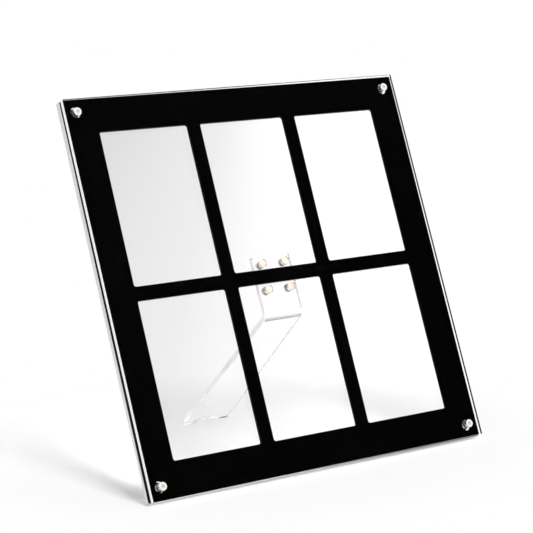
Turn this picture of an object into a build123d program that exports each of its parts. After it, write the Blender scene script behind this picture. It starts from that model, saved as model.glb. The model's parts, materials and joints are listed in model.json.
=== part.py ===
from build123d import *
import os
from math import cos, hypot, radians, sin

# Collage photo frame for six prints, standing on a desk.
# A black mat with six windows lies between two clear acrylic sheets. Four
# socket screws at the corners hold the stack, and a bent acrylic stand leg is
# bolted to the middle of the back. Millimetres, +X to the right of the
# picture, the picture faces -Y, +Z up. The origin is on the table, in the
# middle of the space that the standing frame takes.

# Prints and the windows that show them
PRINT_WIDTH = 101.6
PRINT_HEIGHT = 152.4
COLUMNS = 3
ROWS = 2
PRINT_LAP = 6.35
WINDOW_CORNER = 2.2

# The three sheets, from the back to the front
SIDE_BORDER = 23.7
END_BORDER = 24.8
REAR_THICKNESS = 6.0
MAT_THICKNESS = 3.0
FRONT_THICKNESS = 4.5
PRINT_ROOM = 0.25
SHEET_GAP = 0.1
EDGE_BREAK = 0.3

# The mat is a little smaller than the clear sheets, and lies over on its screws:
# to the left, down, and turned clockwise as it is seen
MAT_INSET = 0.4
MAT_SIDE_SHIFT = 0.8
MAT_DROP = 0.45
MAT_TURN_ANGLE = 0.2
MAT_HOLE_CLEARANCE = 0.15

# Corner screws
CORNER_INSET = 11.9
CORNER_HEAD_DIAMETER = 7.9
CORNER_HEAD_HEIGHT = 0.7
SHOULDER_DIAMETER = 6.4
SHOULDER_CLEARANCE = 0.15
THREAD_DIAMETER = 3.9
THREAD_LENGTH = 5.2
THREAD_FIT = 0.05
SOCKET_ACROSS_FLATS = 3.0
SOCKET_DEPTH = 1.6

# Threaded inserts that the corner screws turn into
INSERT_DIAMETER = 7.0
INSERT_FLANGE_DIAMETER = 9.6
INSERT_FLANGE_THICKNESS = 0.9
INSERT_FIT = 0.05

# Stand leg, one heat-bent strip
LEG_WIDTH = 40.0
LEG_THICKNESS = 5.0
LEG_BEND_RADIUS = 6.0
PLATE_CORNER_RADIUS = 1.5
PLATE_ABOVE_CENTRE = 19.0
PLATE_BELOW_CENTRE = 37.5
PLATE_GAP = 0.05
FOOT_WIDTH = 8.5
FOOT_ARCH_RISE = 5.5

# How the frame leans back, and how far the leg drops below its square
LEAN_ANGLE = 23.0
LEG_DROP_ANGLE = 19.0

# The stand's binding posts: a plain barrel, let in flush from the front so that
# the prints lie flat, and a low screw from behind
POST_SIDE_INSET = 8.0
POST_HEAD_DIAMETER = 7.8
POST_HEAD_HEIGHT = 1.0
POST_BARREL_DIAMETER = 6.6
POST_BARREL_SHORT_OF_PLATE = 0.6
POST_CLEARANCE = 0.1
POST_THREAD_DIAMETER = 3.9
POST_THREAD_REACH = 6.5
POST_BORE_SPARE = 0.6
POST_SCREW_HEAD_DIAMETER = 7.6
POST_SCREW_HEAD_HEIGHT = 1.2
POST_SOCKET_ACROSS_FLATS = 2.5
POST_SOCKET_DEPTH = 1.4

OVERRUN = 1.0

# Sizes worked out from the driving dimensions
lean = radians(LEAN_ANGLE)
leg_slope = radians(LEAN_ANGLE + LEG_DROP_ANGLE)
block_width = COLUMNS * PRINT_WIDTH
block_height = ROWS * PRINT_HEIGHT
sheet_width = block_width + 2 * SIDE_BORDER
sheet_height = block_height + 2 * END_BORDER
sheet_middle = sheet_height / 2
mat_back = REAR_THICKNESS + PRINT_ROOM
front_back = mat_back + MAT_THICKNESS + SHEET_GAP
front_face = front_back + FRONT_THICKNESS
corner_across = sheet_width / 2 - CORNER_INSET
corner_up = sheet_middle - CORNER_INSET
corner_hole = SHOULDER_DIAMETER + 2 * SHOULDER_CLEARANCE
mat_swing = radians(MAT_TURN_ANGLE)
mat_play = hypot(MAT_SIDE_SHIFT + mat_swing * corner_up, MAT_DROP + mat_swing * corner_across)
mat_hole = SHOULDER_DIAMETER + 2 * (mat_play + MAT_HOLE_CLEARANCE)
post_pitch = LEG_WIDTH - 2 * POST_SIDE_INSET
post_hole = POST_BARREL_DIAMETER + 2 * POST_CLEARANCE

# Where the leg's outer fold lies on the back, and how long the leg then is
fold_height = sheet_middle - PLATE_BELOW_CENTRE
leg_length = (fold_height * cos(lean) - PLATE_GAP * sin(lean)) / sin(leg_slope)

# How far the standing frame reaches behind and before its resting edge
fold_behind = fold_height * sin(lean) + PLATE_GAP * cos(lean)
reach_behind = fold_behind + leg_length * cos(leg_slope) + LEG_THICKNESS * sin(leg_slope)
reach_before = front_face * cos(lean) - EDGE_BREAK * sin(lean)
rest_y = (reach_before - reach_behind) / 2


def sheet_plane(height):
    """Plane in the frame's sheets: x to the right, y up the sheet, height in front of the back face."""
    outward = Vector(0, -cos(lean), sin(lean))
    return Plane(origin=Vector(0, rest_y, 0) + outward * height, x_dir=(1, 0, 0), z_dir=outward)


def corner_places():
    """Centres of the four corner screws, in the plane of the sheets."""
    corners = [(side, level) for level in (1, -1) for side in (-1, 1)]
    return [(side * corner_across, sheet_middle + level * corner_up) for side, level in corners]


def post_places():
    """Centres of the stand's four binding posts, in the plane of the sheets."""
    half = post_pitch / 2
    return [(side * half, sheet_middle + level * half) for level in (1, -1) for side in (-1, 1)]


def moved_plane(place, height):
    """The sheets' plane with its origin at one fixing."""
    plane = sheet_plane(height)
    origin = plane.from_local_coords(Vector(place[0], place[1], 0))
    return Plane(origin=origin, x_dir=plane.x_dir, z_dir=plane.z_dir)


def clear_sheet(height, thickness, circles, recesses=()):
    """A clear acrylic sheet with holes (places, diameter) and recesses (places, diameter, depth)."""
    with BuildPart() as sheet:
        with BuildSketch(sheet_plane(height)) as outline:
            with Locations((0, sheet_middle)):
                Rectangle(sheet_width, sheet_height)
            chamfer(outline.vertices(), length=EDGE_BREAK)
            for places, diameter in circles:
                with Locations(*places):
                    Circle(diameter / 2, mode=Mode.SUBTRACT)
        extrude(amount=thickness)
        for places, diameter, depth in recesses:
            with BuildSketch(sheet_plane(height + thickness)):
                with Locations(*places):
                    Circle(diameter / 2)
            extrude(amount=-depth, mode=Mode.SUBTRACT)
    return sheet


def rear_panel():
    """Back sheet: carries the inserts and the stand, and stands on its lower rear edge."""
    insert_hole = INSERT_DIAMETER + 2 * INSERT_FIT
    circles = [(corner_places(), insert_hole), (post_places(), post_hole)]
    recess = (post_places(), POST_HEAD_DIAMETER + 2 * POST_CLEARANCE, POST_HEAD_HEIGHT)
    return clear_sheet(0, REAR_THICKNESS, circles, [recess])


def front_panel():
    """Front sheet, with its front edges broken for the hand."""
    sheet = clear_sheet(front_back, FRONT_THICKNESS, [(corner_places(), corner_hole)])
    outward = Axis((0, rest_y, 0), sheet_plane(0).z_dir)
    with sheet:
        chamfer(sheet.faces().sort_by(outward)[-1].outer_wire().edges(), length=EDGE_BREAK)
    return sheet


def photo_mat():
    """Black mat with a window for each print and play around its four screws."""
    window_width = PRINT_WIDTH - 2 * PRINT_LAP
    window_height = PRINT_HEIGHT - 2 * PRINT_LAP
    lie = Location((-MAT_SIDE_SHIFT, sheet_middle - MAT_DROP, 0), (0, 0, -MAT_TURN_ANGLE))
    with BuildPart() as mat:
        with BuildSketch(sheet_plane(mat_back)) as outline:
            with Locations(lie):
                Rectangle(sheet_width - 2 * MAT_INSET, sheet_height - 2 * MAT_INSET)
            chamfer(outline.vertices(), length=EDGE_BREAK)
            with Locations(lie):
                with GridLocations(PRINT_WIDTH, PRINT_HEIGHT, COLUMNS, ROWS):
                    RectangleRounded(window_width, window_height, WINDOW_CORNER, mode=Mode.SUBTRACT)
                with GridLocations(2 * corner_across, 2 * corner_up, 2, 2):
                    Circle(mat_hole / 2, mode=Mode.SUBTRACT)
        extrude(amount=MAT_THICKNESS)
    return mat


def corner_screw(place):
    """Socket screw: low head on the front sheet, shoulder through two sheets, thread in the insert."""
    shoulder_length = front_face - REAR_THICKNESS
    with BuildPart() as screw:
        with BuildSketch(moved_plane(place, front_face)):
            Circle(CORNER_HEAD_DIAMETER / 2)
        extrude(amount=CORNER_HEAD_HEIGHT)
        with BuildSketch(moved_plane(place, front_face)):
            Circle(SHOULDER_DIAMETER / 2)
        extrude(amount=-shoulder_length)
        with BuildSketch(moved_plane(place, REAR_THICKNESS)):
            Circle(THREAD_DIAMETER / 2)
        extrude(amount=-THREAD_LENGTH)
        with BuildSketch(moved_plane(place, front_face + CORNER_HEAD_HEIGHT)):
            RegularPolygon(SOCKET_ACROSS_FLATS / 2, 6, major_radius=False)
        extrude(amount=-SOCKET_DEPTH, mode=Mode.SUBTRACT)
    return screw


def corner_insert(place):
    """Flanged threaded insert, fitted in the back sheet from behind."""
    with BuildPart() as insert:
        with BuildSketch(moved_plane(place, REAR_THICKNESS)):
            Circle(INSERT_DIAMETER / 2)
        extrude(amount=-REAR_THICKNESS)
        with BuildSketch(moved_plane(place, 0)):
            Circle(INSERT_FLANGE_DIAMETER / 2)
        extrude(amount=-INSERT_FLANGE_THICKNESS)
        with BuildSketch(moved_plane(place, REAR_THICKNESS)):
            Circle(THREAD_DIAMETER / 2 + THREAD_FIT)
        extrude(amount=-(REAR_THICKNESS + INSERT_FLANGE_THICKNESS), mode=Mode.SUBTRACT)
    return insert


def leg_side_plane():
    """Plane through the middle of the leg: x away behind the frame, y up its back."""
    away = Vector(0, cos(lean), -sin(lean))
    return Plane(origin=(0, rest_y, 0), x_dir=away, z_dir=(1, 0, 0))


def stand_leg():
    """Heat-bent strip: a bolted plate, a rounded fold, and a leg that ends in two feet."""
    drop = radians(LEG_DROP_ANGLE)
    back = PLATE_GAP
    top = sheet_middle + PLATE_ABOVE_CENTRE
    tip = (back + leg_length * cos(drop), fold_height - leg_length * sin(drop))
    upper_tip = (tip[0] + LEG_THICKNESS * sin(drop), tip[1] + LEG_THICKNESS * cos(drop))
    inner_fold = (back + LEG_THICKNESS, fold_height + LEG_THICKNESS * (1 - sin(drop)) / cos(drop))
    with BuildPart() as leg:
        with BuildSketch(leg_side_plane()):
            with BuildLine():
                Polyline(
                    (back, top),
                    (back, fold_height),
                    tip,
                    upper_tip,
                    inner_fold,
                    (back + LEG_THICKNESS, top),
                    close=True,
                )
            make_face()
        extrude(amount=LEG_WIDTH / 2, both=True)
        along = leg.edges().filter_by(Axis.X)
        by_fold = along.sort_by_distance(leg_side_plane().from_local_coords(Vector(back, fold_height, 0)))
        fillet(by_fold[0], LEG_BEND_RADIUS + LEG_THICKNESS)
        along = leg.edges().filter_by(Axis.X)
        by_inside = along.sort_by_distance(leg_side_plane().from_local_coords(Vector(*inner_fold, 0)))
        fillet(by_inside[0], LEG_BEND_RADIUS)
        top_edges = leg.edges().filter_by(Axis(leg_side_plane().origin, leg_side_plane().x_dir))
        fillet(top_edges.sort_by(Axis.Z)[-2:], PLATE_CORNER_RADIUS)
        extrude(foot_arch(tip).sketch, amount=LEG_THICKNESS + OVERRUN, both=True, mode=Mode.SUBTRACT)
        with BuildSketch(sheet_plane(0)):
            with Locations(*post_places()):
                Circle(post_hole / 2)
        extrude(amount=-(LEG_THICKNESS + back + OVERRUN), mode=Mode.SUBTRACT)
    return leg


def leg_plane(tip):
    """Plane of the leg's lower face, its origin at the middle of the foot's edge, y up the leg."""
    drop = radians(LEG_DROP_ANGLE)
    side = leg_side_plane()
    origin = side.from_local_coords(Vector(tip[0], tip[1], 0))
    up_leg = side.from_local_coords(Vector(tip[0] - cos(drop), tip[1] + sin(drop), 0)) - origin
    return Plane(origin=origin, x_dir=(1, 0, 0), z_dir=Vector(1, 0, 0).cross(up_leg))


def foot_arch(tip):
    """Outline of the arched cut-out between the two feet."""
    half_arch = LEG_WIDTH / 2 - FOOT_WIDTH
    with BuildSketch(leg_plane(tip)) as arch:
        with BuildLine():
            ThreePointArc((-half_arch, 0), (0, FOOT_ARCH_RISE), (half_arch, 0))
            Polyline((half_arch, 0), (half_arch, -OVERRUN), (-half_arch, -OVERRUN), (-half_arch, 0))
        make_face()
    return arch


def stand_barrel(place):
    """Female half of a binding post: flush plain head, barrel through sheet and plate."""
    barrel_length = REAR_THICKNESS + PLATE_GAP + LEG_THICKNESS - POST_BARREL_SHORT_OF_PLATE
    with BuildPart() as barrel:
        with BuildSketch(moved_plane(place, REAR_THICKNESS)):
            Circle(POST_HEAD_DIAMETER / 2)
        extrude(amount=-POST_HEAD_HEIGHT)
        with BuildSketch(moved_plane(place, REAR_THICKNESS - POST_HEAD_HEIGHT)):
            Circle(POST_BARREL_DIAMETER / 2)
        extrude(amount=POST_HEAD_HEIGHT - barrel_length)
        with BuildSketch(moved_plane(place, REAR_THICKNESS - barrel_length)):
            Circle(POST_THREAD_DIAMETER / 2 + THREAD_FIT)
        extrude(amount=POST_THREAD_REACH + POST_BORE_SPARE, mode=Mode.SUBTRACT)
    return barrel


def stand_screw(place):
    """Male half of a binding post: low socket head on the plate, thread in the barrel."""
    plate_back = -(PLATE_GAP + LEG_THICKNESS)
    shank_length = POST_BARREL_SHORT_OF_PLATE + POST_THREAD_REACH
    with BuildPart() as screw:
        with BuildSketch(moved_plane(place, plate_back)):
            Circle(POST_SCREW_HEAD_DIAMETER / 2)
        extrude(amount=-POST_SCREW_HEAD_HEIGHT)
        with BuildSketch(moved_plane(place, plate_back)):
            Circle(POST_THREAD_DIAMETER / 2)
        extrude(amount=shank_length)
        with BuildSketch(moved_plane(place, plate_back - POST_SCREW_HEAD_HEIGHT)):
            RegularPolygon(POST_SOCKET_ACROSS_FLATS / 2, 6, major_radius=False)
        extrude(amount=POST_SOCKET_DEPTH, mode=Mode.SUBTRACT)
    return screw


def write_piece(label, piece):
    """Label one piece and write it to its own file."""
    piece.part.label = label
    export_step(piece.part, f"parts/{label}.step")


os.makedirs("parts", exist_ok=True)
write_piece("rear_panel", rear_panel())
write_piece("photo_mat", photo_mat())
write_piece("front_panel", front_panel())
write_piece("stand_leg", stand_leg())
for number, place in enumerate(corner_places(), start=1):
    write_piece(f"corner_screw_{number}", corner_screw(place))
    write_piece(f"corner_insert_{number}", corner_insert(place))
for number, place in enumerate(post_places(), start=1):
    write_piece(f"stand_barrel_{number}", stand_barrel(place))
    write_piece(f"stand_screw_{number}", stand_screw(place))
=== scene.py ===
import json
import logging
import math
from dataclasses import dataclass, field
from enum import Enum

import bmesh
import bpy
from mathutils import Matrix, Quaternion, Vector


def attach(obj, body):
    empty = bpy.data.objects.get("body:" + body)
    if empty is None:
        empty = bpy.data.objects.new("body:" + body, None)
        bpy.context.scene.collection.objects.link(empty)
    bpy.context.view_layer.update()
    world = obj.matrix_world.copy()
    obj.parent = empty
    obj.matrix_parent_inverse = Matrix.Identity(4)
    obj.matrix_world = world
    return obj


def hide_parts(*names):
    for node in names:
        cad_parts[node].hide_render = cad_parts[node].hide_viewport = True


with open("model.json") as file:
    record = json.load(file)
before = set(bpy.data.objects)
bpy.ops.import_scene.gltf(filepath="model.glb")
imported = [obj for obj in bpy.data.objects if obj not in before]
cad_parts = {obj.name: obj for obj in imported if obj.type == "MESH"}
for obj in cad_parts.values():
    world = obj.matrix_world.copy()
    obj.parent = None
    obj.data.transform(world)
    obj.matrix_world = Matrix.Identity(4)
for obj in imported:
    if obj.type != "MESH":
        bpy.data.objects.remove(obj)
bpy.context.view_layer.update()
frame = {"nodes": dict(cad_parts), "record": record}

HOLLOW_MARK = "hollow"
SHANK_MARK = "shank"
BEND_MARK = "bend"
NUMBERS = range(1, 5)
RIGHT = (1.0, 0.0, 0.0)
WHITE = (1.0, 1.0, 1.0, 1.0)

# Lengths are in millimetres in the pieces, and in metres in the studio and the camera.
MM = 0.001
CLOSE = 0.001
MERGE = 0.0001
TIP_HEIGHT = 0.4
TIP_INSET = 0.35
EASED_SEGMENTS = 4

Triple = tuple[float, float, float]
Shades = tuple[tuple[float, float], ...]
NodeSocket = bpy.types.NodeSocket
log = logging.getLogger("collage_frame")


class Sheet(Enum):
    """The three flat sheets of the stack, by node name."""

    BACK = "rear_panel"
    MAT = "photo_mat"
    FRONT = "front_panel"


@dataclass(frozen=True)
class Stance:
    """How the standing frame leans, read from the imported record."""

    up: Vector
    out: Vector

    @classmethod
    def from_record(cls, record: dict) -> "Stance":
        """Read the lean from the mount on the lower edge.

        Args:
            record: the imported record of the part.

        Returns:
            The direction up the sheets and the one out of the picture.
        """
        mount = next(m for m in record["mounts"] if m["name"] == "lower_edge")
        up = -Vector(mount["axis"]).normalized()
        return cls(up=up, out=Vector(RIGHT).cross(up))

    def frame_at(self, across: float, up: float) -> Matrix:
        """Find the axes of a fixing.

        Args:
            across: how far to the right the fixing's axis lies.
            up: how far up the sheets it lies.

        Returns:
            The matrix whose X runs across, Y up the sheets and Z out of the picture.
        """
        axes = Matrix((Vector(RIGHT), self.up, self.out)).transposed().to_4x4()
        return Matrix.Translation(Vector((across, 0, 0)) + self.up * up) @ axes


class Graph:
    """A node tree with short ways to add nodes and join them."""

    def __init__(self, tree: bpy.types.NodeTree) -> None:
        """Empty the tree, so that it holds only what is added here.

        Args:
            tree: the node tree of a material or of the world.
        """
        tree.nodes.clear()
        self.tree = tree

    def add(self, kind: str, settings: dict | None = None, **sockets: object) -> bpy.types.Node:
        """Add a node, and set or join its input sockets.

        Args:
            kind: Blender's name for the node type.
            settings: the node's own options, by name.
            **sockets: input values, or output sockets to join, by the socket's name with
                underscores for spaces, or by its number after a letter i.

        Returns:
            The new node.
        """
        node = self.tree.nodes.new(kind)
        for name, value in (settings or {}).items():
            setattr(node, name, value)
        for name, value in sockets.items():
            key = int(name[1:]) if name[0] == "i" and name[1:].isdigit() else name.replace("_", " ")
            if isinstance(value, NodeSocket):
                self.tree.links.new(value, node.inputs[key])
            else:
                node.inputs[key].default_value = value
        return node

    def math(self, operation: str, *values: object) -> NodeSocket:
        """Add a Math node.

        Args:
            operation: the name of the operation.
            *values: its inputs in order, as numbers or sockets.

        Returns:
            The node's output.
        """
        sockets = {f"i{number}": value for number, value in enumerate(values)}
        return self.add("ShaderNodeMath", {"operation": operation}, **sockets).outputs[0]

    def dot(self, vector: NodeSocket, way: Triple) -> NodeSocket:
        """Measure a vector along a fixed direction.

        Args:
            vector: the vector to measure.
            way: the direction.

        Returns:
            The length along it.
        """
        node = self.add("ShaderNodeVectorMath", {"operation": "DOT_PRODUCT"}, i0=vector, i1=way)
        return node.outputs["Value"]

    def noise(self, place: NodeSocket, scale: float, detail: float) -> NodeSocket:
        """Add a cloudy noise.

        Args:
            place: the point where it is read.
            scale: how many clouds lie along a metre.
            detail: how many finer layers it has.

        Returns:
            The noise, from zero to one.
        """
        node = self.add("ShaderNodeTexNoise", Vector=place, Scale=scale, Detail=detail)
        return node.outputs["Fac"]

    def mark(self, name: str) -> NodeSocket:
        """Read a mark that the mesh keeps on its vertices."""
        return self.add("ShaderNodeAttribute", {"attribute_name": name}).outputs["Fac"]

    def spread(
        self,
        value: NodeSocket,
        low: float,
        high: float,
        start: float = 0.0,
        end: float = 1.0,
        smooth: bool = False,
    ) -> NodeSocket:
        """Map a value from one range to another, and hold it there.

        Args:
            value: what is mapped.
            low: the result at the start.
            high: the result at the end.
            start: where the value's range starts.
            end: where it ends.
            smooth: whether the change eases in and out.

        Returns:
            The mapped value.
        """
        settings = {"interpolation_type": "SMOOTHSTEP" if smooth else "LINEAR"}
        node = self.add(
            "ShaderNodeMapRange",
            settings,
            Value=value,
            From_Min=start,
            From_Max=end,
            To_Min=low,
            To_Max=high,
        )
        return node.outputs[0]

    def pick(self, factor: NodeSocket, first: object, second: object) -> NodeSocket:
        """Mix two numbers.

        Args:
            factor: zero for the first number, one for the second.
            first: a number or a socket.
            second: a number or a socket.

        Returns:
            The mixed number.
        """
        return self.add("ShaderNodeMix", i0=factor, i2=first, i3=second).outputs[0]

    def blend(self, factor: NodeSocket, first: object, second: object) -> NodeSocket:
        """Mix two colours.

        Args:
            factor: zero for the first colour, one for the second.
            first: red, green and blue, or a socket.
            second: red, green and blue, or a socket.

        Returns:
            The mixed colour.
        """
        ends = [(*end, 1) if isinstance(end, tuple) else end for end in (first, second)]
        node = self.add("ShaderNodeMix", {"data_type": "RGBA"}, Factor=factor, i6=ends[0], i7=ends[1])
        return node.outputs[2]

    def join(self, factor: NodeSocket, first: bpy.types.Node, second: bpy.types.Node) -> bpy.types.Node:
        """Mix two shaders.

        Args:
            factor: zero for the first shader, one for the second.
            first: the node of the first shader.
            second: the node of the second shader.

        Returns:
            The node that mixes them.
        """
        return self.add("ShaderNodeMixShader", Fac=factor, i1=first.outputs[0], i2=second.outputs[0])

    def ramp(
        self, value: NodeSocket, stops: tuple[float, float], tones: tuple[Triple, Triple]
    ) -> NodeSocket:
        """Add a colour ramp from one colour to another.

        Args:
            value: what the ramp reads.
            stops: where the two colours lie.
            tones: red, green and blue of each.

        Returns:
            The ramp's colour.
        """
        node = self.add("ShaderNodeValToRGB", i0=value)
        for element, stop, tone in zip(node.color_ramp.elements, stops, tones):
            element.position = stop
            element.color = (*tone, 1)
        return node.outputs["Color"]


def new_material(name: str) -> tuple[bpy.types.Material, Graph]:
    """Make an empty node material.

    Args:
        name: the material's name.

    Returns:
        The material and its node graph.
    """
    material = bpy.data.materials.new(name)
    material.use_nodes = True
    return material, Graph(material.node_tree)


class Cut(Enum):
    """Which faces of a clear piece are sawn edges."""

    AROUND_SHEET = "around the sheet"
    STRIP_SIDES = "sides of the strip"


@dataclass(frozen=True)
class ClearAcrylic:
    """Clear cast acrylic with polished faces and sawn edges; the edges' white is partly frosted finish
    and partly painted light, they glow with painted light, and seen from inside they take painted
    shade.
    """

    name: str
    cut: Cut
    edge_light: float
    # Painted light: how strongly the sawn edges glow.
    painted_edge_glow: float
    edge_tone: Triple
    edge_grain: float = 0.25
    edge_roughness: float = 0.3
    # Painted shade on sawn edges seen from inside the piece.
    inner_shade: float = 0.0
    inner_tone: Triple = (0.02, 0.02, 0.02)
    flatness: float = 0.985
    # Painted grey on the fold, in place of the light that the bend refracts and mirrors.
    bend_painted_grey: float = 0.0
    bend_painted_tone: Triple = (0.62, 0.62, 0.61)
    tint: Triple = (0.99, 0.991, 0.989)
    ior: float = 1.49
    mirror: float = 0.4
    saw_scale: float = 2600.0
    saw_detail: float = 1.0
    smear_scale: float = 38.0
    smear_detail: float = 3.0
    smear_roughness: float = 0.02

    def edge_masks(self, graph: Graph, stance: Stance) -> tuple[NodeSocket, NodeSocket]:
        """Tell the sawn edges from the polished faces.

        Args:
            graph: the material's nodes.
            stance: the lean, which tells the faces of a sheet from its edges.

        Returns:
            One on the sawn edges seen from outside, and one on those seen through the piece.
        """
        geometry = graph.add("ShaderNodeNewGeometry")
        normal = geometry.outputs["True Normal"]
        facing = graph.math("ABSOLUTE", graph.dot(normal, RIGHT))
        if self.cut is Cut.AROUND_SHEET:
            along = graph.math("ABSOLUTE", graph.dot(normal, tuple(stance.up)))
            facing = graph.math("MAXIMUM", facing, along)
        edge = graph.math("GREATER_THAN", facing, self.flatness)
        inner = graph.math("MULTIPLY", edge, geometry.outputs["Backfacing"])
        return graph.math("SUBTRACT", edge, inner), inner

    def build(self, stance: Stance) -> bpy.types.Material:
        """Make the material.

        Args:
            stance: the lean, which tells the faces of a sheet from its edges.

        Returns:
            The material.
        """
        material, graph = new_material(self.name)
        edge, inner = self.edge_masks(graph, stance)
        place = graph.add("ShaderNodeTexCoord").outputs["Object"]
        smear = graph.noise(place, self.smear_scale, self.smear_detail)
        wiped = graph.spread(smear, 0.0, self.smear_roughness)
        saw = graph.noise(place, self.saw_scale, self.saw_detail)
        streak = graph.spread(saw, 1.0 - self.edge_grain, 1.0)
        rough = graph.math("MULTIPLY", edge, graph.math("MULTIPLY", streak, self.edge_roughness))
        # The fold is painted grey, in place of the light that the bend refracts and mirrors.
        bend = graph.mark(BEND_MARK)
        painted_fold = graph.math("MULTIPLY", bend, self.bend_painted_grey)
        # The white scatter on edges seen from outside is partly the frosted sawn finish and partly
        # painted light carried through the sheet.
        lit = graph.math("MULTIPLY", edge, self.edge_light)
        # Painted shade: sawn edges seen from inside are scattered dark.
        shaded = graph.math("MULTIPLY", inner, self.inner_shade)
        scatter = graph.math("MAXIMUM", graph.math("MAXIMUM", lit, painted_fold), shaded)
        faces = graph.blend(bend, self.tint, self.bend_painted_tone)
        sawn = graph.blend(inner, self.edge_tone, self.inner_tone)
        body = graph.add(
            "ShaderNodeBsdfPrincipled",
            Base_Color=graph.blend(graph.math("ADD", edge, inner), faces, sawn),
            Roughness=graph.math("ADD", wiped, rough),
            Transmission_Weight=graph.math("SUBTRACT", 1.0, scatter),
            IOR=self.ior,
            Specular_Tint=(self.mirror, self.mirror, self.mirror, 1),
            # Painted light: the sawn edges glow, though they are no lamp.
            Emission_Color=(*self.edge_tone, 1),
            Emission_Strength=graph.math("MULTIPLY", edge, self.painted_edge_glow),
        )
        rays = graph.add("ShaderNodeLightPath")
        clear = graph.add("ShaderNodeBsdfTransparent", Color=(*self.tint, 1))
        shader = graph.join(rays.outputs["Is Shadow Ray"], body, clear)
        graph.add("ShaderNodeOutputMaterial", Surface=shader.outputs[0])
        return material


@dataclass(frozen=True)
class BlackMatFinish:
    """Smooth black acrylic with a little dust on it."""

    name: str = "black_mat"
    base: Triple = (0.0003, 0.0003, 0.0004)
    dust: Triple = (0.02, 0.02, 0.021)
    dust_scale: float = 260.0
    dust_size: float = 0.07
    patch_scale: float = 60.0
    patch_detail: float = 2.0
    patch_from: float = 0.58
    cloud_scale: float = 24.0
    cloud_detail: float = 4.0
    roughness: tuple[float, float] = (0.24, 0.38)
    gloss: float = 0.02

    def build(self) -> bpy.types.Material:
        """Make the material.

        Returns:
            The material.
        """
        material, graph = new_material(self.name)
        place = graph.add("ShaderNodeTexCoord").outputs["Object"]
        cells = graph.add("ShaderNodeTexVoronoi", Vector=place, Scale=self.dust_scale)
        speck = graph.math("LESS_THAN", cells.outputs["Distance"], self.dust_size)
        patches = graph.noise(place, self.patch_scale, self.patch_detail)
        dusty = graph.math("GREATER_THAN", patches, self.patch_from)
        cloud = graph.noise(place, self.cloud_scale, self.cloud_detail)
        body = graph.add(
            "ShaderNodeBsdfPrincipled",
            Base_Color=graph.blend(graph.math("MULTIPLY", speck, dusty), self.base, self.dust),
            Roughness=graph.spread(cloud, *self.roughness),
            Specular_IOR_Level=self.gloss,
        )
        graph.add("ShaderNodeOutputMaterial", Surface=body.outputs[0])
        return material


@dataclass(frozen=True)
class TurnedMetal:
    """Plated metal, turned on a lathe, with fine rings, and darker tones in the hollows and on the
    shanks, painted in place of the shade and dark reflections there.
    """

    name: str
    base: Triple
    worn: Triple
    # hollow and shank: darker tones that are painted shade.
    hollow: Triple
    shank: Triple
    roughness: float
    metallic: float = 1.0
    smoothest: float = 0.7
    roughest: float = 1.4
    ring_rate: float = 9000.0
    ring_strength: float = 0.08
    ring_depth: float = 0.0001
    wear_scale: float = 420.0
    wear_detail: float = 4.0
    wear_stops: tuple[float, float] = (0.35, 0.6)

    def build(self, stance: Stance) -> bpy.types.Material:
        """Make the material.

        Args:
            stance: the lean, because the pieces' axes are square to the sheets.

        Returns:
            The material.
        """
        material, graph = new_material(self.name)
        place = graph.add("ShaderNodeTexCoord").outputs["Object"]
        out = graph.dot(place, tuple(stance.out))
        rings = graph.math("SINE", graph.math("MULTIPLY", out, self.ring_rate))
        bump = graph.add(
            "ShaderNodeBump", Strength=self.ring_strength, Distance=self.ring_depth, Height=rings
        )
        wear = graph.noise(place, self.wear_scale, self.wear_detail)
        tone = graph.ramp(wear, self.wear_stops, (self.worn, self.base))
        # Painted shade in the socket and on the shank.
        tone = graph.blend(graph.mark(HOLLOW_MARK), tone, self.hollow)
        tone = graph.blend(graph.mark(SHANK_MARK), tone, self.shank)
        low, high = self.roughness * self.smoothest, self.roughness * self.roughest
        body = graph.add(
            "ShaderNodeBsdfPrincipled",
            Base_Color=tone,
            Metallic=self.metallic,
            Roughness=graph.spread(wear, low, high),
            Normal=bump.outputs[0],
        )
        graph.add("ShaderNodeOutputMaterial", Surface=body.outputs[0])
        return material


def dress(node: bpy.types.Object, material: bpy.types.Material) -> None:
    """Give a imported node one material.

    Args:
        node: the node's object.
        material: its new material.
    """
    node.data.materials.clear()
    node.data.materials.append(material)


def reach(vertex: bmesh.types.BMVert) -> float:
    """Measure how far a vertex lies from the shape's axis."""
    return math.hypot(vertex.co.x, vertex.co.y)


def round_off(
    form: bmesh.types.BMesh,
    items: list,
    size: float,
    segments: int = EASED_SEGMENTS,
    affect: str = "EDGES",
) -> None:
    """Round edges or corners of a shape.

    Args:
        form: the shape.
        items: its edges or its vertices.
        size: how far the rounding reaches.
        segments: how many faces the rounding has.
        affect: EDGES or VERTICES, after the items.
    """
    bmesh.ops.bevel(
        form,
        geom=items,
        offset=size,
        offset_type="OFFSET",
        segments=segments,
        profile=0.5,
        affect=affect,
        material=-1,
    )


def place_form(
    name: str, form: bmesh.types.BMesh, place: Matrix, material: bpy.types.Material
) -> bpy.types.Object:
    """Move a shape to its place, and make it an object that sits at the origin.

    Args:
        name: the object's name.
        form: the shape, which is used up.
        place: where the shape goes.
        material: its finish.

    Returns:
        The new object.
    """
    bmesh.ops.transform(form, matrix=place, verts=form.verts)
    bmesh.ops.recalc_face_normals(form, faces=form.faces)
    mesh = bpy.data.meshes.new(name)
    form.to_mesh(mesh)
    form.free()
    mesh.shade_smooth()
    mesh.materials.append(material)
    piece = bpy.data.objects.new(name, mesh)
    bpy.context.scene.collection.objects.link(piece)
    return piece


class Form(Enum):
    """What a ring of a turned piece becomes after turning."""

    ROUND = "round"
    HEX = "hexagon socket"


@dataclass(frozen=True)
class Ring:
    """One ring of a turned piece, in millimetres from its axis and its foot."""

    radius: float
    height: float
    easing: float = 0.0
    form: Form = Form.ROUND


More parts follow.
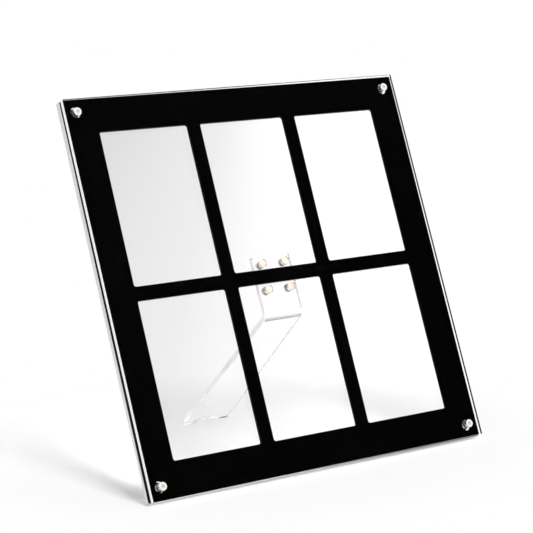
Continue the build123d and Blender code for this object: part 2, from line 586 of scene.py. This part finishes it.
@dataclass(frozen=True)
class Thread:
    """A screw thread between two heights of a turned piece, in millimetres."""

    bottom: float
    top: float
    pitch: float = 0.7
    depth: float = 0.32
    core: float = 1.5
    widest: float = 3.0
    run_out: float = 0.5
    rows_a_turn: int = 8


@dataclass(frozen=True)
class Knurl:
    """Straight knurls between two heights of a turned piece, in millimetres."""

    bottom: float
    top: float
    depth: float = 0.14
    skin: float = 0.3


@dataclass(frozen=True)
class Hollow:
    """The inside of a socket in a turned piece, in millimetres."""

    mouth: float
    bottom: float
    top: float


@dataclass
class TurnedPiece:
    """A small metal piece, turned about an axis square to the sheets."""

    node: str
    body: str
    slot: str
    rings: list[Ring]
    hollow: Hollow | None = None
    thread: Thread | None = None
    knurl: Knurl | None = None
    shank_below: float = 0.0
    shank_margin: float = 0.02
    steps: int = 48

    def axis(self, stance: Stance) -> tuple[Matrix, float]:
        """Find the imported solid's axis and its foot.

        Args:
            stance: the lean of the frame.

        Returns:
            The matrix of the axis, and the height of the solid's foot along it.
        """
        points = [vertex.co for vertex in frame["nodes"][self.node].data.vertices]
        across = [point.x for point in points]
        up = [point.dot(stance.up) for point in points]
        out = [point.dot(stance.out) for point in points]
        middle = stance.frame_at((min(across) + max(across)) / 2, (min(up) + max(up)) / 2)
        return middle, min(out)

    def turn(self) -> bmesh.types.BMesh:
        """Turn the rings' outline once round the axis.

        Returns:
            The closed shape, in millimetres, with its axis on Z.
        """
        form = bmesh.new()
        outline = [form.verts.new((ring.radius, 0, ring.height)) for ring in self.rings]
        edges = [form.edges.new(pair) for pair in zip(outline, outline[1:])]
        bmesh.ops.spin(
            form,
            geom=outline + edges,
            cent=(0, 0, 0),
            axis=(0, 0, 1),
            angle=math.tau,
            steps=self.steps,
            use_merge=True,
        )
        bmesh.ops.remove_doubles(form, verts=form.verts, dist=MERGE)
        bmesh.ops.recalc_face_normals(form, faces=form.faces)
        return form

    @staticmethod
    def on_ring(vertex: bmesh.types.BMVert, ring: Ring) -> bool:
        """Tell whether a vertex lies on a ring."""
        return abs(reach(vertex) - ring.radius) < CLOSE and abs(vertex.co.z - ring.height) < CLOSE

    def ease(self, form: bmesh.types.BMesh) -> None:
        """Round the rings that have an easing.

        Args:
            form: the turned shape.
        """
        for ring in self.rings:
            if ring.easing:
                edges = [edge for edge in form.edges if all(self.on_ring(v, ring) for v in edge.verts)]
                round_off(form, edges, ring.easing)

    def press_socket(self, form: bmesh.types.BMesh) -> None:
        """Turn the hexagon rings from circles into hexagons.

        Args:
            form: the turned shape.
        """
        sixth = math.pi / 3
        for ring in self.rings:
            if ring.form is not Form.HEX:
                continue
            for vertex in [vertex for vertex in form.verts if self.on_ring(vertex, ring)]:
                turned = math.atan2(vertex.co.y, vertex.co.x) % sixth - sixth / 2
                stretch = 1 / math.cos(turned)
                vertex.co.x *= stretch
                vertex.co.y *= stretch

    def cut_thread(self, form: bmesh.types.BMesh, thread: Thread) -> None:
        """Cut a helical thread into a plain shank.

        Args:
            form: the turned shape.
            thread: where the thread runs, and its size.
        """
        ends = {round(thread.bottom, 3), round(thread.top, 3)}
        shank = [
            edge
            for edge in form.edges
            if {round(v.co.z, 3) for v in edge.verts} == ends
            and min(reach(v) for v in edge.verts) > thread.core
        ]
        length = thread.top - thread.bottom
        rows = int(length / thread.pitch * thread.rows_a_turn)
        bmesh.ops.subdivide_edges(form, edges=shank, cuts=rows, use_grid_fill=True)
        for vertex in form.verts:
            run, wide = vertex.co.z - thread.bottom, reach(vertex)
            if not 0 < run < length or not thread.core < wide < thread.widest:
                continue
            phase = (run / thread.pitch - math.atan2(vertex.co.y, vertex.co.x) / math.tau) % 1
            groove = 1 - abs(2 * phase - 1)
            near_end = min(run, length - run) / thread.pitch
            cut = thread.depth * groove * min(near_end / thread.run_out, 1)
            vertex.co.x *= (wide - cut) / wide
            vertex.co.y *= (wide - cut) / wide

    def cut_knurl(self, form: bmesh.types.BMesh, knurl: Knurl) -> None:
        """Press straight knurls into a wall.

        Args:
            form: the turned shape.
            knurl: where the knurls run, and their size.
        """
        wall = [v for v in form.verts if knurl.bottom - CLOSE < v.co.z < knurl.top + CLOSE]
        widest = max(reach(vertex) for vertex in wall)
        for vertex in wall:
            wide = reach(vertex)
            column = round(math.atan2(vertex.co.y, vertex.co.x) / math.tau * self.steps)
            if column % 2 and wide > widest - knurl.skin:
                vertex.co.x *= (wide - knurl.depth) / wide
                vertex.co.y *= (wide - knurl.depth) / wide

    def mark_parts(self, form: bmesh.types.BMesh) -> None:
        """Mark the inside of the socket, and the shank, for the painted shade on them.

        Args:
            form: the finished shape, in millimetres.
        """
        inside = form.verts.layers.float.new(HOLLOW_MARK)
        dull = form.verts.layers.float.new(SHANK_MARK)
        for vertex in form.verts:
            if self.hollow:
                within = self.hollow.bottom < vertex.co.z < self.hollow.top
                vertex[inside] = float(within and reach(vertex) < self.hollow.mouth)
            vertex[dull] = float(vertex.co.z < self.shank_below - self.shank_margin)

    def build(self, stance: Stance, material: bpy.types.Material) -> bpy.types.Object:
        """Make the piece in its solid's place.

        Args:
            stance: the lean of the frame.
            material: its finish.

        Returns:
            The finished piece.
        """
        form = self.turn()
        self.ease(form)
        self.press_socket(form)
        if self.knurl:
            self.cut_knurl(form, self.knurl)
        if self.thread:
            self.cut_thread(form, self.thread)
        self.mark_parts(form)
        middle, foot = self.axis(stance)
        place = middle @ Matrix.Translation((0, 0, foot)) @ Matrix.Scale(MM, 4)
        piece = place_form(f"{self.node}_turned", form, place, material)
        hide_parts(self.node)
        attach(piece, self.body)
        return piece


@dataclass
class SheetStack:
    """The two clear sheets and the black mat between them."""

    stance: Stance
    front: ClearAcrylic = ClearAcrylic(
        "clear_front",
        Cut.AROUND_SHEET,
        edge_light=0.92,
        painted_edge_glow=0.3,
        edge_tone=(0.96, 0.96, 0.945),
        inner_shade=0.85,
    )
    back: ClearAcrylic = ClearAcrylic(
        "clear_back",
        Cut.AROUND_SHEET,
        edge_light=0.75,
        painted_edge_glow=0.15,
        edge_tone=(0.96, 0.96, 0.945),
        inner_shade=0.6,
    )
    mat: BlackMatFinish = BlackMatFinish()

    def build(self) -> list[str]:
        """Dress the three sheets.

        Returns:
            Their names.
        """
        finishes = {
            Sheet.BACK: self.back.build(self.stance),
            Sheet.MAT: self.mat.build(),
            Sheet.FRONT: self.front.build(self.stance),
        }
        for sheet, material in finishes.items():
            dress(frame["nodes"][sheet.value], material)
        return [sheet.value for sheet in finishes]


@dataclass
class BentLeg:
    """The stand's clear strip: a bolted plate, a warm-bent fold, and a leg that widens to two feet."""

    node: str = "stand_leg"
    width: float = 40.0
    thickness: float = 5.0
    gap: float = 0.05
    above_middle: float = 19.0
    below_middle: float = 37.5
    drop: float = math.radians(19.0)
    outer_radius: float = 9.0
    inner_radius: float = 4.0
    plate_corner: float = 1.5
    widening: float = 5.0
    foot: float = 9.5
    arch: float = 6.0
    bend_reach: float = 7.0
    bend_fade: float = 5.0
    fold_segments: int = 14
    columns: int = 48
    crease: float = math.radians(25.0)

    def outline(self, form: bmesh.types.BMesh, stance: Stance, middle: float) -> float:
        """Draw the strip from the side and round its fold.

        Args:
            form: the empty shape, whose X runs across, Y away behind and Z up the sheets.
            stance: the lean of the frame.
            middle: how high the middle of the sheets lies.

        Returns:
            The length of the leg.
        """
        fold = middle - self.below_middle
        top = middle + self.above_middle
        lean = math.atan2(stance.up.y, stance.up.z)
        length = (fold * math.cos(lean) - self.gap * math.sin(lean)) / math.sin(lean + self.drop)
        sine, cosine = math.sin(self.drop), math.cos(self.drop)
        tip = (self.gap + length * cosine, fold - length * sine)
        back = self.gap + self.thickness
        corners = [
            (self.gap, top),
            (self.gap, fold),
            tip,
            (tip[0] + self.thickness * sine, tip[1] + self.thickness * cosine),
            (back, fold + self.thickness * (1 - sine) / cosine),
            (back, top),
        ]
        outline = [form.verts.new((-self.width / 2, away, up)) for away, up in corners]
        form.faces.new(outline)
        half_bend = (math.pi / 2 - self.drop) / 2
        for vertex, radius in ((outline[1], self.outer_radius), (outline[4], self.inner_radius)):
            round_off(form, [vertex], radius * math.tan(half_bend), self.fold_segments, "VERTICES")
        return length

    def widen(self, form: bmesh.types.BMesh, length: float, fold: float) -> None:
        """Widen the leg toward its feet, and arch its end between them.

        Args:
            form: the straight strip.
            length: the length of the leg.
            fold: how high the fold lies.
        """
        sine, cosine = math.sin(self.drop), math.cos(self.drop)
        # Mark the fold, where the painted grey band goes.
        mark = form.verts.layers.float.new(BEND_MARK)
        half_arch = self.width / 2 + self.widening - self.foot
        for vertex in form.verts:
            away, rise = vertex.co.y - self.gap, vertex.co.z - fold
            near_fold = (self.bend_reach - math.hypot(away, rise)) / self.bend_fade
            vertex[mark] = min(max(near_fold, 0), 1)
            run = away * cosine - rise * sine
            part = max(run - self.bend_reach, 0) / (length - self.bend_reach)
            vertex.co.x *= 1 + part * self.widening / (self.width / 2)
            inside = 1 - (vertex.co.x / half_arch) ** 2
            if run > length - CLOSE and inside > 0:
                vertex.co.y -= self.arch * inside * cosine
                vertex.co.z += self.arch * inside * sine

    def build(self, stance: Stance, material: bpy.types.Material) -> bpy.types.Object:
        """Make the strip behind the back sheet.

        Args:
            stance: the lean of the frame.
            material: its finish.

        Returns:
            The finished strip.
        """
        sheet = [vertex.co for vertex in frame["nodes"][Sheet.BACK.value].data.vertices]
        low = min(point.dot(stance.up) for point in sheet)
        high = max(point.dot(stance.up) for point in sheet)
        face = min(point.dot(stance.out) for point in sheet)
        middle = (high - low) / 2 / MM
        top = middle + self.above_middle
        form = bmesh.new()
        length = self.outline(form, stance, middle)
        side = bmesh.ops.extrude_face_region(form, geom=form.faces[:], use_keep_orig=True)
        moved = [item for item in side["geom"] if isinstance(item, bmesh.types.BMVert)]
        bmesh.ops.translate(form, verts=moved, vec=(self.width, 0, 0))
        across = [edge for edge in form.edges if abs(edge.verts[0].co.x - edge.verts[1].co.x) > CLOSE]
        bmesh.ops.subdivide_edges(form, edges=across, cuts=self.columns - 1)
        ends = {
            vertex
            for vertex in form.verts
            if abs(abs(vertex.co.x) - self.width / 2) < CLOSE and abs(vertex.co.z - top) < CLOSE
        }
        corners = [edge for edge in form.edges if ends.issuperset(edge.verts)]
        round_off(form, corners, self.plate_corner)
        self.widen(form, length, middle - self.below_middle)
        log.info("leg: %d open edges", sum(not edge.is_manifold for edge in form.edges))
        axes = Matrix((Vector(RIGHT), -stance.out, stance.up)).transposed().to_4x4()
        place = Matrix.Translation(stance.out * face + stance.up * low) @ axes @ Matrix.Scale(MM, 4)
        strip = place_form(f"{self.node}_bent", form, place, material)
        strip.data.set_sharp_from_angle(angle=self.crease)
        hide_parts(self.node)
        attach(strip, "back")
        return strip


@dataclass
class Stand:
    """The bent clear leg and the posts that bolt it to the back sheet."""

    stance: Stance
    leg: BentLeg = field(default_factory=BentLeg)
    acrylic: ClearAcrylic = ClearAcrylic(
        "clear_leg",
        Cut.STRIP_SIDES,
        edge_light=0.6,
        painted_edge_glow=0.24,
        edge_tone=(0.985, 0.985, 0.975),
        bend_painted_grey=0.85,
    )
    posts: TurnedMetal = TurnedMetal(
        "satin_post",
        base=(0.66, 0.54, 0.46),
        worn=(0.6, 0.49, 0.42),
        # The sockets' darker tone is painted shade, and the barrels' dark grey sides below the head are
        # a painted dark reflection.
        hollow=(0.5, 0.45, 0.4),
        shank=(0.12, 0.12, 0.12),
        roughness=0.42,
        metallic=0.3,
    )
    head: float = 7.1
    head_height: float = 1.0
    head_easing: float = 0.25
    seat_easing: float = 0.1
    barrel: float = 6.3
    barrel_length: float = 10.45
    barrel_easing: float = 0.15
    bore: float = 4.0
    bore_depth: float = 7.1
    screw_head: float = 7.6
    screw_head_height: float = 1.2
    screw_head_easing: float = 0.35
    screw_socket: float = 2.5
    screw_socket_depth: float = 1.4
    lip: float = 0.25
    lip_depth: float = 0.12
    hollow_lip: float = 0.3
    hollow_reach: float = 0.5
    shank: float = 3.9
    shank_length: float = 7.1

    def barrel_rings(self) -> list[Ring]:
        """List the rings of a barrel.

        Returns:
            The rings, from the floor of its bore round to the top of its head.
        """
        shoulder = self.barrel_length - self.head_height
        return [
            Ring(0, self.bore_depth),
            Ring(self.bore / 2, self.bore_depth),
            Ring(self.bore / 2, 0),
            Ring(self.barrel / 2, 0, self.barrel_easing),
            Ring(self.barrel / 2, shoulder),
            Ring(self.head / 2, shoulder, self.seat_easing),
            Ring(self.head / 2, self.barrel_length, self.head_easing),
            Ring(0, self.barrel_length),
        ]

    def screw_rings(self) -> list[Ring]:
        """List the rings of a stand screw.

        Returns:
            The rings, from the floor of its socket round to the end of its shank.
        """
        flat = self.screw_socket / 2
        top = self.screw_head_height
        end = top + self.shank_length
        return [
            Ring(0, self.screw_socket_depth),
            Ring(flat, self.screw_socket_depth, form=Form.HEX),
            Ring(flat, self.lip_depth, form=Form.HEX),
            Ring(flat + self.lip, 0),
            Ring(self.screw_head / 2, 0, self.screw_head_easing),
            Ring(self.screw_head / 2, top, self.seat_easing),
            Ring(self.shank / 2, top),
            Ring(self.shank / 2, end - TIP_HEIGHT),
            Ring(self.shank / 2 - TIP_INSET, end),
            Ring(0, end),
        ]

    def build(self) -> list[str]:
        """Make the leg and its posts.

        Returns:
            Their names.
        """
        strip = self.leg.build(self.stance, self.acrylic.build(self.stance))
        metal = self.posts.build(self.stance)
        top = self.screw_head_height
        thread = Thread(top, top + self.shank_length - TIP_HEIGHT)
        mouth = self.screw_socket / 2 + self.hollow_lip
        hollow = Hollow(mouth, -self.hollow_reach, self.screw_socket_depth + self.hollow_reach)
        names = [strip.name]
        for number in NUMBERS:
            barrel = TurnedPiece(
                f"stand_barrel_{number}",
                "back",
                "post_nickel",
                self.barrel_rings(),
                shank_below=self.barrel_length - self.head_height,
            )
            screw = TurnedPiece(
                f"stand_screw_{number}",
                "back",
                "post_nickel",
                self.screw_rings(),
                hollow=hollow,
                thread=thread,
            )
            names += [piece.build(self.stance, metal).name for piece in (barrel, screw)]
        return names


@dataclass
class CornerFixings:
    """The corner screws and the inserts that they turn into; the screws' near-white is partly painted
    reflection, and the inserts' near-black is painted shade.
    """

    stance: Stance
    # The near-white, barely metallic tone is plated metal with a painted reflection of bright light.
    screws: TurnedMetal = TurnedMetal(
        "bright_screw",
        base=(0.86, 0.85, 0.83),
        worn=(0.8, 0.77, 0.73),
        hollow=(0.62, 0.55, 0.49),
        # Painted shade: the shoulder and shank are near black, down in the holes.
        shank=(0.01, 0.01, 0.01),
        roughness=0.35,
        metallic=0.15,
    )
    # The inserts are painted near black: painted shade in the holes round the screws.
    inserts: TurnedMetal = TurnedMetal(
        "insert_steel",
        base=(0.03, 0.03, 0.03),
        worn=(0.025, 0.024, 0.023),
        hollow=(0.02, 0.02, 0.02),
        shank=(0.03, 0.03, 0.03),
        roughness=0.35,
    )
    head: float = 7.3
    head_height: float = 0.5
    head_easing: float = 0.4
    shoulder: float = 6.4
    shoulder_length: float = 7.85
    shoulder_easing: float = 0.15
    bright_length: float = 0.5
    shank: float = 3.9
    shank_length: float = 5.2
    socket: float = 3.0
    socket_depth: float = 0.6
    socket_cone: float = 0.3
    lip: float = 0.45
    lip_depth: float = 0.3
    lip_easing: float = 0.1
    hollow_lip: float = 0.35
    hollow_reach: float = 0.5
    insert: float = 7.0
    insert_length: float = 6.0
    insert_easing: float = 0.15
    plain_band: float = 0.6
    flange: float = 9.6
    flange_height: float = 0.9
    flange_easing: float = 0.3
    seat_easing: float = 0.1
    bore: float = 4.0
    bore_easing: float = 0.12

    def screw_rings(self) -> list[Ring]:
        """List the rings of a corner screw.

        Returns:
            The rings, from the end of its shank round to the floor of its socket.
        """
        neck = self.shank_length
        seat = neck + self.shoulder_length
        top = seat + self.head_height
        flat = self.socket / 2
        floor = top - self.socket_depth
        return [
            Ring(0, 0),
            Ring(self.shank / 2 - TIP_INSET, 0),
            Ring(self.shank / 2, TIP_HEIGHT),
            Ring(self.shank / 2, neck),
            Ring(self.shoulder / 2, neck, self.shoulder_easing),
            Ring(self.shoulder / 2, seat),
            Ring(self.head / 2, seat),
            Ring(self.head / 2, top, self.head_easing),
            Ring(flat + self.lip, top, self.lip_easing),
            Ring(flat, top - self.lip_depth, form=Form.HEX),
            Ring(flat, floor, form=Form.HEX),
            Ring(0, floor - self.socket_cone),
        ]

    def insert_rings(self) -> list[Ring]:
        """List the rings of an insert.

        Returns:
            The rings, once round its wall from the back end of its bore.
        """
        seat = self.flange_height
        top = seat + self.insert_length
        return [
            Ring(self.bore / 2, 0, self.bore_easing),
            Ring(self.flange / 2, 0, self.flange_easing),
            Ring(self.flange / 2, seat, self.seat_easing),
            Ring(self.insert / 2, seat),
            Ring(self.insert / 2, seat + self.plain_band),
            Ring(self.insert / 2, top - self.plain_band),
            Ring(self.insert / 2, top, self.insert_easing),
            Ring(self.bore / 2, top, self.bore_easing),
            Ring(self.bore / 2, 0, self.bore_easing),
        ]

    def build(self) -> list[str]:
        """Make the screws and inserts.

        Returns:
            Their names.
        """
        screw_metal = self.screws.build(self.stance)
        insert_metal = self.inserts.build(self.stance)
        seat = self.shank_length + self.shoulder_length
        floor = seat + self.head_height - self.socket_depth
        bottom = floor - self.socket_cone - self.hollow_reach
        hollow = Hollow(self.socket / 2 + self.hollow_lip, bottom, floor + self.hollow_reach)
        wall_top = self.flange_height + self.insert_length
        knurl = Knurl(self.flange_height + self.plain_band, wall_top - self.plain_band)
        names = []
        for number in NUMBERS:
            screw = TurnedPiece(
                f"corner_screw_{number}",
                f"screw_{number}",
                "bright_screw",
                self.screw_rings(),
                hollow=hollow,
                thread=Thread(TIP_HEIGHT, self.shank_length),
                # Below the head's first half millimetre, the screw takes painted shade.
                shank_below=seat - self.bright_length,
            )
            insert = TurnedPiece(
                f"corner_insert_{number}", "back", "insert_steel", self.insert_rings(), knurl=knurl
            )
            names += [screw.build(self.stance, screw_metal).name]
            names += [insert.build(self.stance, insert_metal).name]
        return names


@dataclass
class Studio:
    """A pale table in a soft, bright room, brighter to the right, and dim in front."""

    table_half: float = 6.0
    table_tone: Triple = (0.82, 0.82, 0.82)
    seen_white: float = 0.08
    seen_tone: float = 0.8
    through_white: float = 0.55
    through_tone: float = 0.24
    open_from: float = 0.15
    open_to: float = 0.31
    to_the_right: Triple = (0.84, -0.543, 0.0)
    table_shades: Shades = ((-0.35, 0.775), (-0.1, 0.92), (0.05, 1.16))
    room_shades: Shades = ((-1.2, 0.5), (-0.28, 0.8), (0.08, 1.15))
    room: float = 0.5
    gloom: float = 0.01
    gloom_depth: float = 4.5
    gloom_way: Triple = (0.53, -0.70, 0.47)
    gloom_cone: tuple[float, float] = (0.72, 0.86)
    lamp_place: Triple = (0.0, -2.2, 2.3)
    lamp_aim: Triple = (0.0, 0.0, 0.15)
    lamp_side: float = 1.0
    lamp_power: float = 78.0

    def build(self) -> None:
        """Make the table, the room and the lamp."""
        self.make_table()
        self.make_room()
        self.make_lamp()

    def shade(self, graph: Graph, place: NodeSocket, shades: Shades) -> NodeSocket:
        """Let the light fall off to the left.

        Args:
            graph: the nodes of the table or the room.
            place: where a ray lands, or its direction.
            shades: how far to the right, and how bright, at three stops.

        Returns:
            How bright it is there.
        """
        across = graph.dot(place, self.to_the_right)
        (far, dim), (near, mild), (right, full) = shades
        left_part = graph.spread(across, dim, mild, far, near)
        right_part = graph.spread(across, 0.0, full - mild, near, right)
        return graph.math("ADD", left_part, right_part)

    def make_table(self) -> None:
        """Make the table top: white to look at, but for the shadow that it holds."""
        mesh = bpy.data.meshes.new("table_top")
        form = bmesh.new()
        bmesh.ops.create_grid(form, x_segments=1, y_segments=1, size=self.table_half)
        form.to_mesh(mesh)
        form.free()
        table = bpy.data.objects.new("table_top", mesh)
        bpy.context.scene.collection.objects.link(table)
        material, graph = new_material("table_white")
        rays = graph.add("ShaderNodeLightPath")
        place = graph.add("ShaderNodeTexCoord").outputs["Object"]
        through = rays.outputs["Is Transmission Ray"]
        # Seen through the sheets, the table is painted darker to the left, with less glow and tone of
        # its own: painted shade.
        fall_off = self.shade(graph, place, self.table_shades)
        shade = graph.pick(through, 1.0, fall_off)
        away = graph.add("ShaderNodeVectorMath", {"operation": "LENGTH"}, i0=place).outputs["Value"]
        open_table = graph.spread(away, 0.0, 1.0, self.open_from, self.open_to, smooth=True)
        own = graph.pick(through, self.seen_white, self.through_white)
        lit = graph.pick(through, self.seen_tone, self.through_tone)
        glow = graph.add("ShaderNodeEmission", Strength=graph.math("MULTIPLY", shade, own))
        tone = graph.math("MULTIPLY", shade, lit)
        white = graph.add("ShaderNodeCombineColor", i0=tone, i1=tone, i2=tone)
        pale = graph.add("ShaderNodeBsdfDiffuse", Color=white.outputs[0])
        near = graph.add("ShaderNodeAddShader", i0=glow.outputs[0], i1=pale.outputs[0])
        far = graph.add("ShaderNodeEmission", Strength=shade)
        look = graph.join(open_table, near, far)
        paint = graph.add("ShaderNodeBsdfDiffuse", Color=(*self.table_tone, 1))
        mirrored = graph.math("MAXIMUM", rays.outputs["Is Glossy Ray"], through)
        seen = graph.math("MAXIMUM", rays.outputs["Is Camera Ray"], mirrored)
        mix = graph.join(seen, paint, look)
        graph.add("ShaderNodeOutputMaterial", Surface=mix.outputs[0])
        table.data.materials.append(material)

    def make_room(self) -> None:
        """Make the room: white to look at, and dim where the front sheet mirrors it."""
        world = bpy.data.worlds.new("studio")
        bpy.context.scene.world = world
        world.use_nodes = True
        graph = Graph(world.node_tree)
        rays = graph.add("ShaderNodeLightPath")
        direction = graph.add("ShaderNodeTexCoord").outputs["Generated"]
        inside, outside = self.gloom_cone
        facing = graph.dot(direction, self.gloom_way)
        dark = graph.spread(facing, 0.0, 1.0 - self.gloom, inside, outside, smooth=True)
        shallow = graph.math("LESS_THAN", rays.outputs["Transmission Depth"], self.gloom_depth)
        left = graph.math("SUBTRACT", 1.0, graph.math("MULTIPLY", dark, shallow))
        shade = graph.math("MULTIPLY", left, self.shade(graph, direction, self.room_shades))
        glossy, through = rays.outputs["Is Glossy Ray"], rays.outputs["Is Transmission Ray"]
        mirrored = graph.math("MAXIMUM", glossy, through)
        soft = graph.add("ShaderNodeBackground", Color=WHITE, Strength=self.room)
        mirror = graph.add("ShaderNodeBackground", Color=WHITE, Strength=shade)
        white = graph.add("ShaderNodeBackground", Color=WHITE, Strength=1.0)
        bounced = graph.join(mirrored, soft, mirror)
        shader = graph.join(rays.outputs["Is Camera Ray"], bounced, white)
        graph.add("ShaderNodeOutputWorld", Surface=shader.outputs[0])

    def make_lamp(self) -> None:
        """Hang one square soft box that faces the object, and that nothing mirrors."""
        data = bpy.data.lights.new("soft_box", "AREA")
        data.shape = "SQUARE"
        data.size = self.lamp_side
        data.energy = self.lamp_power
        lamp = bpy.data.objects.new("soft_box", data)
        bpy.context.scene.collection.objects.link(lamp)
        lamp.location = Vector(self.lamp_place)
        lamp.visible_glossy = False
        aim = Vector(self.lamp_aim) - Vector(self.lamp_place)
        lamp.rotation_euler = aim.to_track_quat("-Z", "Y").to_euler()


@dataclass
class PhotoCamera:
    """The camera of the photograph, fitted to the corners of the six windows."""

    place: Vector = field(default_factory=lambda: Vector((-0.90162, -1.40943, 0.48000)))
    turned_right: float = 32.872
    looks_down: float = 10.532
    roll: float = -1.141
    lens: float = 125.895
    sensor: float = 36.0

    def build(self) -> None:
        """Make the camera and use it."""
        data = bpy.data.cameras.new("photo_camera")
        data.sensor_width = self.sensor
        data.lens = self.lens
        camera = bpy.data.objects.new("photo_camera", data)
        bpy.context.scene.collection.objects.link(camera)
        camera.location = self.place
        azimuth = math.radians(self.turned_right)
        drop = math.radians(self.looks_down)
        level = Vector((math.sin(azimuth), math.cos(azimuth), 0)) * math.cos(drop)
        ahead = level - Vector((0, 0, math.sin(drop)))
        turn = Quaternion(ahead, -math.radians(self.roll)) @ ahead.to_track_quat("-Z", "Y")
        camera.rotation_mode = "QUATERNION"
        camera.rotation_quaternion = turn
        bpy.context.scene.camera = camera


def main() -> None:
    """Dress the frame, light it and set the camera."""
    logging.basicConfig(level=logging.INFO, format="%(name)s: %(message)s")
    bpy.context.scene.view_settings.view_transform = "Standard"
    stance = Stance.from_record(frame["record"])
    for assembly in (SheetStack(stance), Stand(stance), CornerFixings(stance)):
        names = assembly.build()
        log.info("%s: %s", type(assembly).__name__, ", ".join(names))
    Studio().build()
    PhotoCamera().build()


if __name__ == "__main__":
    main()
